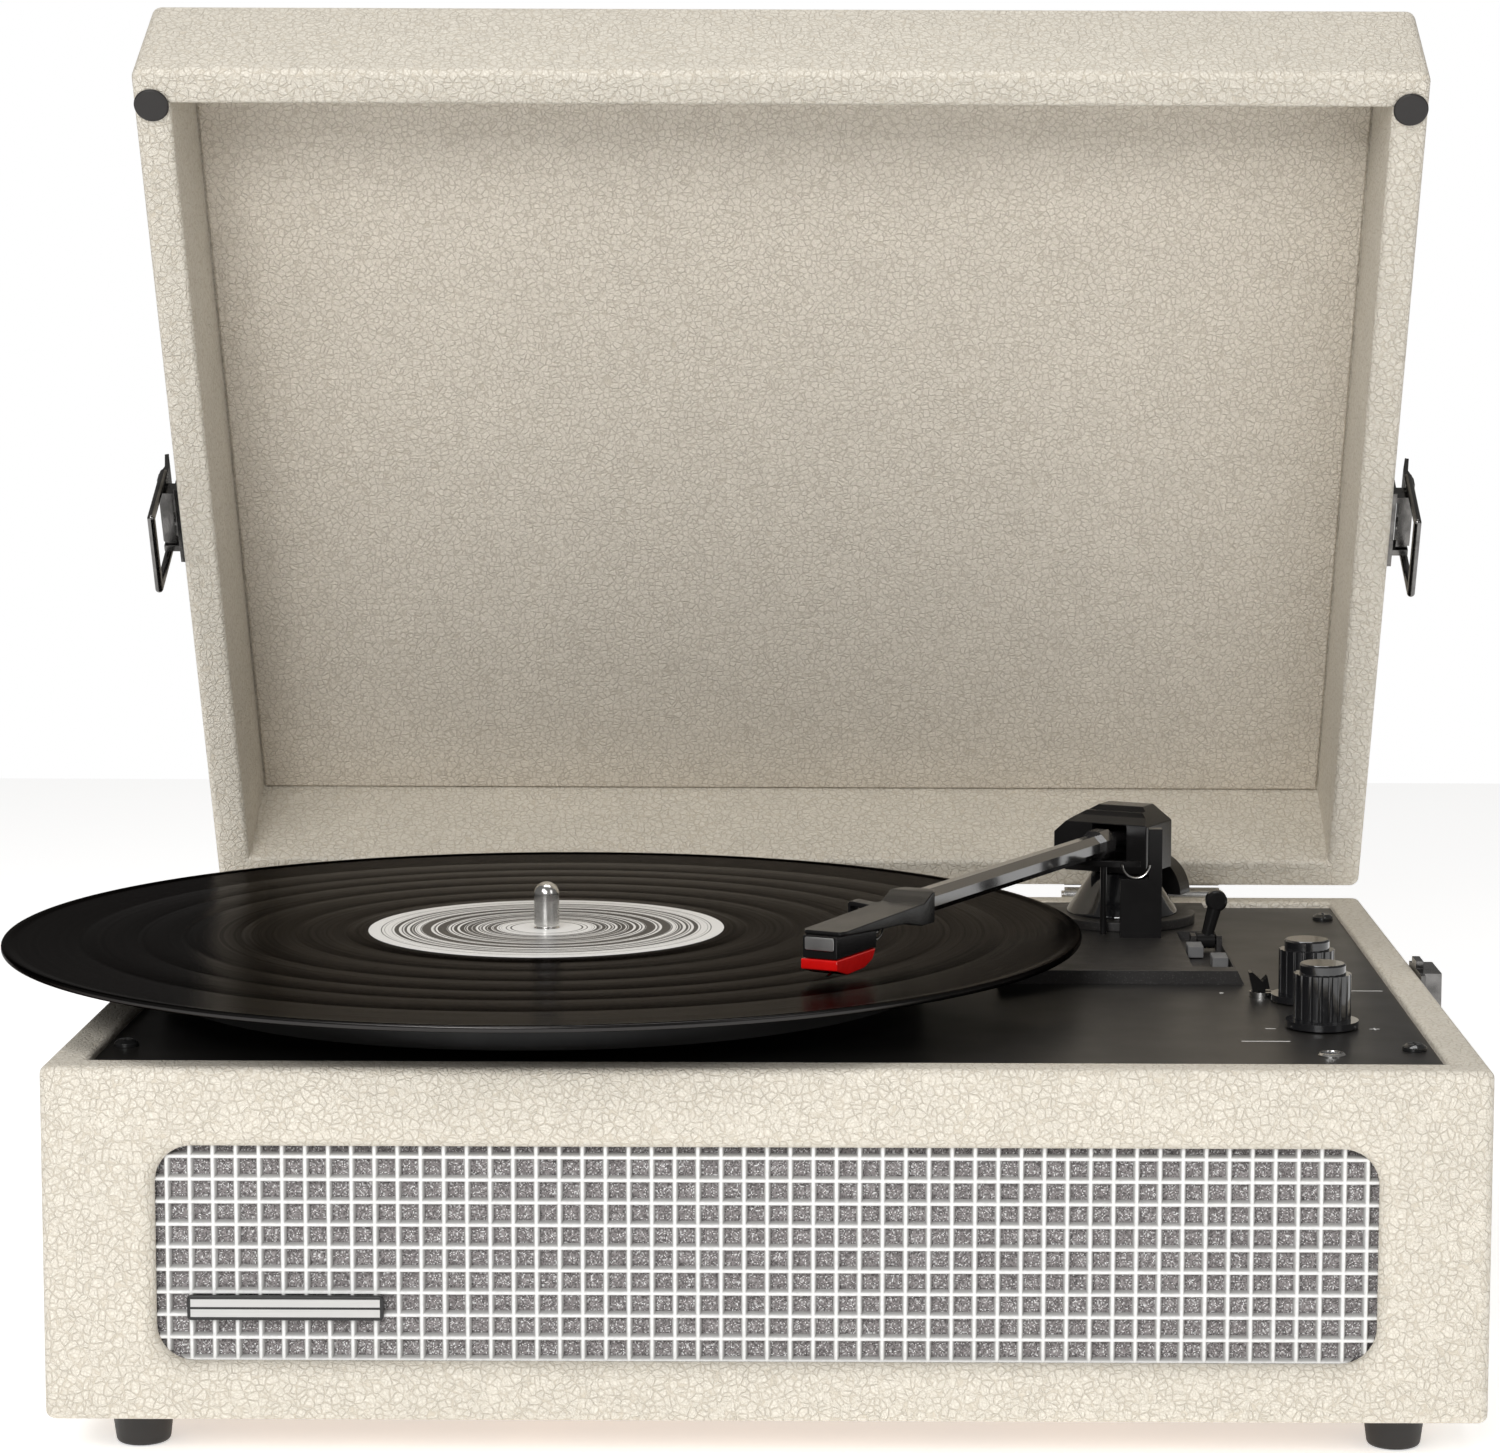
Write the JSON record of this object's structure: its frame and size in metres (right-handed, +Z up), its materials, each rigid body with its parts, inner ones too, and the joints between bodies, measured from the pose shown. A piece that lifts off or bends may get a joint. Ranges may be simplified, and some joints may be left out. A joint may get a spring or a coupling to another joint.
{
  "type": "turntable record player",
  "caption": "Suitcase record player: leatherette case with grille and built-in speakers, hinged lid with side latches, belt-drive platter and straight tonearm.",
  "frame": {"origin": "under the middle of the whole object's box, with the lid open, on the surface that its feet stand on", "axes": "+X to the right along the case's width, +Y to the rear where the hinge is, +Z up along the spindle"},
  "size_m": [0.4078, 0.3546, 0.3792],
  "materials": {
    "case_leatherette": "pebble grain leatherette over board",
    "lid_lining": "pebble grain lining in the lid",
    "raw_board": "plain board",
    "deck": "satin black",
    "black_plastic": "satin black moulding",
    "gloss_black": "polished black",
    "grille": "moulded light grey",
    "speaker_cloth": "speckled speaker cloth",
    "speaker_metal": "pressed steel basket",
    "cone_paper": "paper cone with rubber edge",
    "steel": "bright steel",
    "black_screw": "black finished steel screws",
    "dark_chrome": "dark nickel plate",
    "rubber": "black rubber",
    "brass": "turned brass",
    "badge": "plain brushed plate",
    "platter": "moulded platter",
    "felt": "felt mat",
    "vinyl": "pressed grooves",
    "paper_label": null,
    "arm_gloss": "gloss black tube",
    "stylus_red": "translucent red holder",
    "switch_grey": "grey thumb pieces",
    "led": "clear lens in a bright ring",
    "circuit": "green board with parts"
  },
  "bodies": {
    "base": {"base_case": "case_leatherette", "bottom_panel": "raw_board", "bottom_screws": "steel", "feet": "rubber", "corner_blocks": "raw_board", "deck_plate": "deck", "deck_screws": "black_screw", "speaker_grille": "grille", "speaker_cloth": "speaker_cloth", "speaker_baffle": "raw_board", "speaker_frames": "speaker_metal", "speaker_cones": "cone_paper", "speaker_magnets": "speaker_metal", "front_badge": "badge", "base_hinge_leaves": "steel", "hinge_pins": "steel", "side_catches": "dark_chrome", "spindle": "steel", "spindle_bush": "brass", "motor": "steel", "motor_mounts": "rubber", "drive_belt": "rubber", "tonearm_plinth": "deck", "pivot_disc": "deck", "pivot_turret": "gloss_black", "arm_rest": "black_plastic", "control_bodies": "steel", "power_led": "led", "main_board": "circuit", "board_standoffs": "brass", "jack_panel": "black_plastic", "phono_sockets": "steel", "small_jacks": "dark_chrome"},
    "lid": {"lid_shell": "case_leatherette", "lid_lining": "lid_lining", "lid_bumpers": "rubber", "lid_hinge_leaves": "steel", "latch_plates": "dark_chrome"},
    "left_lever": {"left_latch_lever": "dark_chrome"},
    "left_loop": {"left_latch_loop": "dark_chrome"},
    "right_lever": {"right_latch_lever": "dark_chrome"},
    "right_loop": {"right_latch_loop": "dark_chrome"},
    "platter": {"platter": "platter", "platter_rim": "platter", "drive_ring": "platter", "platter_hub": "brass", "platter_mat": "felt", "record_disc": "vinyl", "record_label": "paper_label"},
    "pulley": {"motor_pulley": "brass"},
    "arm_pivot": {"pivot_block": "black_plastic", "rear_weight": "black_plastic"},
    "arm": {"arm_tube": "arm_gloss", "headshell": "black_plastic", "cartridge": "black_plastic", "stylus": "stylus_red"},
    "cue_bar": {"cue_lift_bar": "black_plastic"},
    "cue": {"cue_lever": "black_plastic"},
    "volume": {"volume_knob": "gloss_black"},
    "tone": {"tone_knob": "gloss_black"},
    "speed": {"speed_slider": "switch_grey"},
    "auto_stop": {"stop_slider": "switch_grey"},
    "mode": {"mode_toggle": "black_plastic"}
  },
  "joints": [
    {"name": "lid_hinge", "type": "hinge", "parent": "base", "child": "lid", "pos_m": [0.012, 0.14, 0.1025], "axis": [1, 0, 0], "range_deg": [0, 44]},
    {"name": "left_latch", "type": "hinge", "parent": "lid", "child": "left_lever", "pos_m": [-0.1765, 0.08142, 0.22715], "axis": [0, -0.4772, 0.8788], "range_deg": [0, 110]},
    {"name": "left_loop_swing", "type": "hinge", "parent": "left_lever", "child": "left_loop", "pos_m": [-0.1778, 0.08617, 0.22973], "axis": [0, -0.4772, 0.8788], "range_deg": [-110, 0]},
    {"name": "right_latch", "type": "hinge", "parent": "lid", "child": "right_lever", "pos_m": [0.2005, 0.08142, 0.22715], "axis": [0, 0.4772, -0.8788], "range_deg": [0, 110]},
    {"name": "right_loop_swing", "type": "hinge", "parent": "right_lever", "child": "right_loop", "pos_m": [0.2018, 0.08617, 0.22973], "axis": [0, 0.4772, -0.8788], "range_deg": [-110, 0]},
    {"name": "platter_spin", "type": "hinge", "parent": "base", "child": "platter", "pos_m": [-0.0532, -0.0266, 0.1125], "axis": [0, 0, -1], "continuous": true},
    {"name": "pulley_spin", "type": "hinge", "parent": "base", "child": "pulley", "pos_m": [-0.0532, 0.0614, 0.1075], "axis": [0, 0, -1], "continuous": true},
    {"name": "arm_swing", "type": "hinge", "parent": "base", "child": "arm_pivot", "pos_m": [0.1155, 0.075, 0.1305], "axis": [0, 0, 1], "range_deg": [-16, 30]},
    {"name": "arm_lift", "type": "hinge", "parent": "arm_pivot", "child": "arm", "pos_m": [0.1155, 0.075, 0.1305], "axis": [-0.8988, 0.4384, 0], "range_deg": [0, 3.5]},
    {"name": "cue_lever_turn", "type": "hinge", "parent": "base", "child": "cue", "pos_m": [0.138, 0.035, 0.1051], "axis": [1, 0, 0], "range_deg": [0, 50]},
    {"name": "cue_bar_rise", "type": "slide", "parent": "base", "child": "cue_bar", "axis": [0, 0, 1], "range_m": [0, 0.0018]},
    {"name": "volume_turn", "type": "hinge", "parent": "base", "child": "volume", "pos_m": [0.1598, -0.0805, 0.1075], "axis": [0, 0, -1], "range_deg": [-150, 150]},
    {"name": "tone_turn", "type": "hinge", "parent": "base", "child": "tone", "pos_m": [0.1598, -0.041, 0.1075], "axis": [0, 0, -1], "range_deg": [-150, 150]},
    {"name": "speed_slide", "type": "slide", "parent": "base", "child": "speed", "axis": [0, 1, 0], "range_m": [-0.006, 0]},
    {"name": "auto_stop_slide", "type": "slide", "parent": "base", "child": "auto_stop", "axis": [0, 1, 0], "range_m": [0, 0.004]},
    {"name": "mode_toggle_tilt", "type": "hinge", "parent": "base", "child": "mode", "pos_m": [0.148, -0.034, 0.0991], "axis": [0, 1, 0], "range_deg": [0, 13]}
  ],
  "couplings": [
    {"joint": "pulley_spin", "follows": "platter_spin", "ratio": 14},
    {"joint": "left_loop_swing", "follows": "left_latch", "ratio": -1},
    {"joint": "right_loop_swing", "follows": "right_latch", "ratio": -1},
    {"joint": "cue_bar_rise", "follows": "arm_lift", "m_per_rad": 0.026},
    {"joint": "cue_lever_turn", "follows": "arm_lift", "ratio": 14.285}
  ]
}
